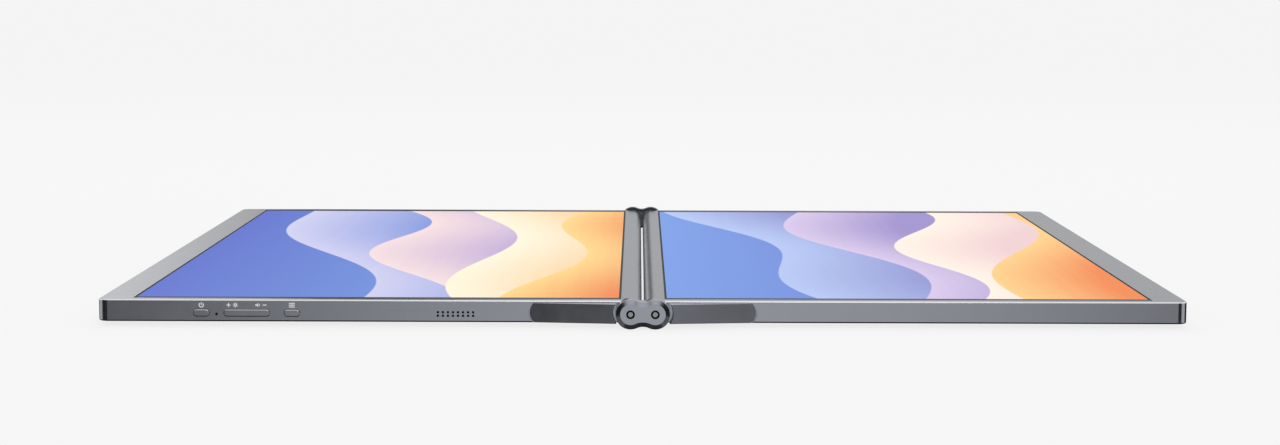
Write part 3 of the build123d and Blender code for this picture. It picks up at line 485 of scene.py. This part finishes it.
# Finish of each material slot in the record
grey_metal = linear(154, 157, 165)
finishes = {
    # The frame carries a painted highlight on its upper rounded edges and painted shade on its lower
    # ones
    "frame_metal": metal(
        "bead_blasted_frame", grey_metal, roughness=0.2, grain_size=0.12 * MM, bump=0.08,
        bright_above=panel_top_z - edge_round, dark_below=panel_bottom_z + edge_round
    ),
    "cover_metal": metal(
        "bead_blasted_cover", linear(140, 143, 151), roughness=0.36, grain_size=0.14 * MM
    ),
    "fairing_metal": metal(
        "satin_fairing", linear(148, 151, 158), roughness=0.2, grain_size=0.1 * MM, bump=0.08
    ),
    "link_metal": metal("polished_link", grey_metal, roughness=0.16, grain_size=0.08 * MM, bump=0.05),
    # Keys carry a painted highlight along their upper rims
    "key": metal(
        "key_metal", grey_metal, roughness=0.2, grain_size=0.1 * MM, bump=0.05,
        bright_above=key_top_z - key_highlight_height
    ),
    "steel": metal(
        "turned_steel", linear(158, 158, 160), roughness=0.28, grain_size=0.1 * MM, bump=0.1
    ),
    "black_steel": metal(
        "blackened_steel", linear(20, 20, 22), roughness=0.5, grain_size=0.1 * MM, bump=0.1
    ),
    "dull_steel": metal(
        "dull_dipped_steel", linear(96, 97, 100), roughness=0.4, grain_size=0.1 * MM, bump=0.1
    ),
    "socket_metal": socket_finish("socket_shell"),
    "left_screen": screen_picture("left_picture", left_base, left_dunes, LEFT, TOWARDS_HINGE),
    "right_screen": screen_picture("right_picture", right_base, right_dunes, RIGHT, AWAY_FROM_HINGE),
    "gasket": surface(
        "black_gasket", linear(24, 24, 27), roughness=0.6, grain_size=0.2 * MM, gloss=0.3
    ),
    "backlight": surface(
        "backlight_film", linear(214, 216, 218), roughness=0.4, grain_size=0.3 * MM, bump=0.05
    ),
    "board": board_finish("circuit_board"),
    "chip": surface("chip_resin", linear(34, 34, 37), roughness=0.5, grain_size=0.1 * MM),
    "foot_rubber": surface(
        "foot_rubber", linear(38, 38, 40), roughness=0.8, grain_size=0.25 * MM,
        tone=0.12, bump=0.5, gloss=0.3
    ),
    "light": surface(
        "light_rod", linear(10, 10, 12), roughness=0.4, grain_size=0.1 * MM, bump=0.03, gloss=0.2
    ),
    "cable": surface("cable_jacket", linear(30, 30, 32), roughness=0.55, grain_size=0.15 * MM),
    "moulding": surface(
        "black_moulding", linear(40, 41, 44), roughness=0.45, grain_size=0.12 * MM, gloss=0.3
    ),
    "mesh": mesh_finish("dust_mesh"),
}


def paint(piece, material):
    """Gives a piece one material all over."""
    piece.data.materials.clear()
    piece.data.materials.append(material)


for row in frame["record"]["subparts"]:
    paint(frame["nodes"][row["node"]], finishes[row["material_slot"]])


# Outlines of the symbols above the keys, as closed shapes round each symbol's middle
half = symbol_height / 2


def ring(radius, stroke, first_angle, last_angle, steps):
    """Curved stroke, in short straight pieces."""
    outlines = []
    inner = radius - stroke / 2
    outer = radius + stroke / 2
    turn = (last_angle - first_angle) / steps
    for step in range(steps):
        start = first_angle + step * turn
        end = start + turn
        corners = [(inner, start), (outer, start), (outer, end), (inner, end)]
        outlines.append([(reach * cos(angle), reach * sin(angle)) for reach, angle in corners])
    return outlines


def bar(x, z, width, height):
    """Upright rectangle."""
    left, right = x - width / 2, x + width / 2
    bottom, top = z - height / 2, z + height / 2
    return [[(left, bottom), (left, top), (right, top), (right, bottom)]]


def power_symbol():
    """Ring that is open at the top, with a bar in the gap."""
    gap = radians(80)
    top = pi / 2
    first_angle, last_angle = top + gap / 2, top + 2 * pi - gap / 2
    circle = ring(half - symbol_stroke / 2, symbol_stroke, first_angle, last_angle, steps=20)
    return circle + bar(0, half / 2, symbol_stroke, half)


def sun_symbol():
    """Ring with short rays."""
    ring_radius = 0.42 * half
    ray_radius = 0.86 * half
    ray_length = 0.28 * half
    ray_width = 0.28  # as an angle
    rays = 8
    sun = ring(ring_radius, symbol_stroke, 0, 2 * pi, steps=16)
    for ray in range(rays):
        middle = ray * 2 * pi / rays
        sun += ring(ray_radius, ray_length, middle - ray_width / 2, middle + ray_width / 2, steps=1)
    return sun


sign_length = 1.5 * half


def minus_symbol():
    """Level bar."""
    return bar(0, 0, sign_length, symbol_stroke)


def plus_symbol():
    """Level bar with a stub above and below."""
    stub = (sign_length - symbol_stroke) / 2
    stub_z = (stub + symbol_stroke) / 2
    return minus_symbol() + bar(0, stub_z, symbol_stroke, stub) + bar(0, -stub_z, symbol_stroke, stub)


def speaker_symbol():
    """Box, horn and one sound wave."""
    box_x, box_width, box_height = -0.65 * half, 0.5 * half, 0.6 * half
    mouth_x, mouth_height = 0.1 * half, 1.6 * half
    wave_radius = 0.6 * half
    wave_angle = radians(45)
    throat_x = box_x + box_width / 2
    throat, mouth = box_height / 2, mouth_height / 2
    horn = [(throat_x, -throat), (throat_x, throat), (mouth_x, mouth), (mouth_x, -mouth)]
    wave = ring(wave_radius, symbol_stroke, -wave_angle, wave_angle, steps=6)
    return bar(box_x, 0, box_width, box_height) + [horn] + wave


def menu_symbol():
    """Three level bars."""
    pitch = 0.7 * half
    length = 2.2 * half
    bars = []
    for step in (-1, 0, 1):
        bars += bar(0, step * pitch, length, symbol_stroke)
    return bars


def side_by_side(first, second):
    """Two symbols as one, a little apart."""
    offset = 1.3 * half
    pair = []
    for outlines, shift in ((first, -offset), (second, offset)):
        pair += [[(x + shift, z) for x, z in outline] for outline in outlines]
    return pair


# Symbols as flat printed shapes on the near wall
white_print = surface(
    "printed_symbols", linear(236, 237, 240), roughness=0.6, grain_size=0.08 * MM, bump=0.1
)


def print_symbol(name, middle_x, outlines):
    """One thin closed shape per outline, all in one piece that stands on the wall."""
    middle_z = panel_bottom_z + symbol_rise
    mesh = bmesh.new()
    for outline in outlines:
        points = [(middle_x + x, middle_z + z) for x, z in outline]
        back = [mesh.verts.new((x, wall_face_y + symbol_proud, z)) for x, z in points]
        front = [mesh.verts.new((x, wall_face_y - symbol_proud, z)) for x, z in points]
        mesh.faces.new(front)
        mesh.faces.new(list(reversed(back)))
        for index in range(len(points)):
            after = (index + 1) % len(points)
            mesh.faces.new((front[after], front[index], back[index], back[after]))
    bmesh.ops.recalc_face_normals(mesh, faces=mesh.faces)
    data = bpy.data.meshes.new(name)
    mesh.to_mesh(data)
    mesh.free()
    piece = bpy.data.objects.new(name, data)
    bpy.context.scene.collection.objects.link(piece)
    paint(piece, white_print)
    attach(piece, "left_panel")


def middle_of(node):
    """X of the middle of a node."""
    low_corner, high_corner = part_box(node)
    return (low_corner.x + high_corner.x) / 2


rocker_x = middle_of("rocker_button")
plus_pair = side_by_side(plus_symbol(), sun_symbol())
minus_pair = side_by_side(speaker_symbol(), minus_symbol())
print_symbol("power_symbol", middle_of("power_button"), power_symbol())
print_symbol("plus_symbol", rocker_x - rocker_symbol_reach, plus_pair)
print_symbol("minus_symbol", rocker_x + rocker_symbol_reach, minus_pair)
print_symbol("menu_symbol", middle_of("menu_button"), menu_symbol())


# Studio
def make_floor():
    """Floor that is pale to the camera and holds the object's shadow."""
    mesh = bpy.data.meshes.new("floor")
    corners = [(-1, -1), (1, -1), (1, 1), (-1, 1)]
    mesh.from_pydata([(x * floor_reach, y * floor_reach, 0) for x, y in corners], [], [(0, 1, 2, 3)])
    floor = bpy.data.objects.new("floor", mesh)
    bpy.context.scene.collection.objects.link(floor)
    floor.visible_glossy = False
    material = bpy.data.materials.new("pale_floor")
    material.use_nodes = True
    tree = Tree(material.node_tree)
    rays = tree.add("ShaderNodeLightPath").outputs
    lit = tree.add("ShaderNodeBsdfDiffuse", {"Color": grey(floor_colour)})
    glow = tree.add("ShaderNodeEmission", {"Color": grey(1.0), "Strength": floor_glow})
    share = tree.math("MULTIPLY", rays["Is Camera Ray"], floor_glow_share)
    inputs = {0: share, 1: lit.outputs["BSDF"], 2: glow.outputs["Emission"]}
    both = tree.add("ShaderNodeMixShader", inputs)
    tree.add("ShaderNodeOutputMaterial", {"Surface": both.outputs["Shader"]})
    mesh.materials.append(material)


def mirrored_room(tree):
    """What metal mirrors: the pale ground with flags before it, a ceiling and a dark underside."""
    way = tree.axes(tree.coordinates("Generated"))
    ahead = tree.math("MULTIPLY", way["Y"], -1.0)
    from_front = tree.math("DEGREES", tree.math("ARCTAN2", way["X"], ahead))
    from_back = tree.math("DEGREES", tree.math("ARCTAN2", way["X"], way["Y"]))
    level = tree.spread(way["Z"], *ceiling_edge, backdrop_level, ceiling_level, smooth=True)
    for bearing, flags in ((from_front, front_flags), (from_back, back_flags)):
        for flag in flags:
            width = tree.window(bearing, flag.bearings)
            height = tree.window(way["Z"], flag.heights)
            taken = tree.math("MULTIPLY", tree.math("MULTIPLY", width, height), flag.share)
            left_over = tree.math("SUBTRACT", 1.0, taken)
            level = tree.math("MULTIPLY", level, left_over)
    below = tree.spread(way["Z"], *underside_edge, smooth=True)
    return tree.mix(below, level, grey(underside_level))


def make_world():
    """Even soft light. The camera sees a plain pale ground."""
    world = bpy.data.worlds.new("studio")
    bpy.context.scene.world = world
    world.use_nodes = True
    tree = Tree(world.node_tree)
    rays = tree.add("ShaderNodeLightPath").outputs
    colour = tree.mix(rays["Is Glossy Ray"], grey(ambient_level), mirrored_room(tree))
    seen = tree.math("MAXIMUM", rays["Is Camera Ray"], rays["Is Transmission Ray"])
    colour = tree.mix(seen, colour, grey(backdrop_level))
    background = tree.add("ShaderNodeBackground", {"Color": colour, "Strength": 1.0})
    tree.add("ShaderNodeOutputWorld", {"Surface": background.outputs["Background"]})


def make_softbox(softbox):
    """Lamp of one softbox."""
    lamp = bpy.data.lights.new(softbox.name, "AREA")
    lamp.shape = "RECTANGLE"
    lamp.size, lamp.size_y = softbox.size
    lamp.energy = softbox.power
    holder = bpy.data.objects.new(softbox.name, lamp)
    bpy.context.scene.collection.objects.link(holder)
    holder.location = softbox.place
    direction = Vector(softbox.target) - Vector(softbox.place)
    holder.rotation_euler = direction.to_track_quat("-Z", "Y").to_euler()


def make_camera():
    """Camera at the photograph's viewing angle."""
    data = bpy.data.cameras.new("camera")
    data.sensor_fit = "HORIZONTAL"
    data.sensor_width = sensor_width
    data.lens = focal_pixels / image_width * sensor_width
    data.clip_end = 2 * floor_reach
    camera = bpy.data.objects.new("camera", data)
    bpy.context.scene.collection.objects.link(camera)
    look = Euler((radians(90 - camera_pitch), 0, -radians(camera_yaw))).to_matrix().to_4x4()
    roll = Matrix.Rotation(radians(camera_roll), 4, "Z")
    camera.matrix_world = Matrix.Translation(camera_place) @ look @ roll
    bpy.context.scene.camera = camera


make_floor()
make_world()
for softbox in softboxes:
    make_softbox(softbox)
make_camera()
bpy.context.scene.view_settings.view_transform = "Standard"
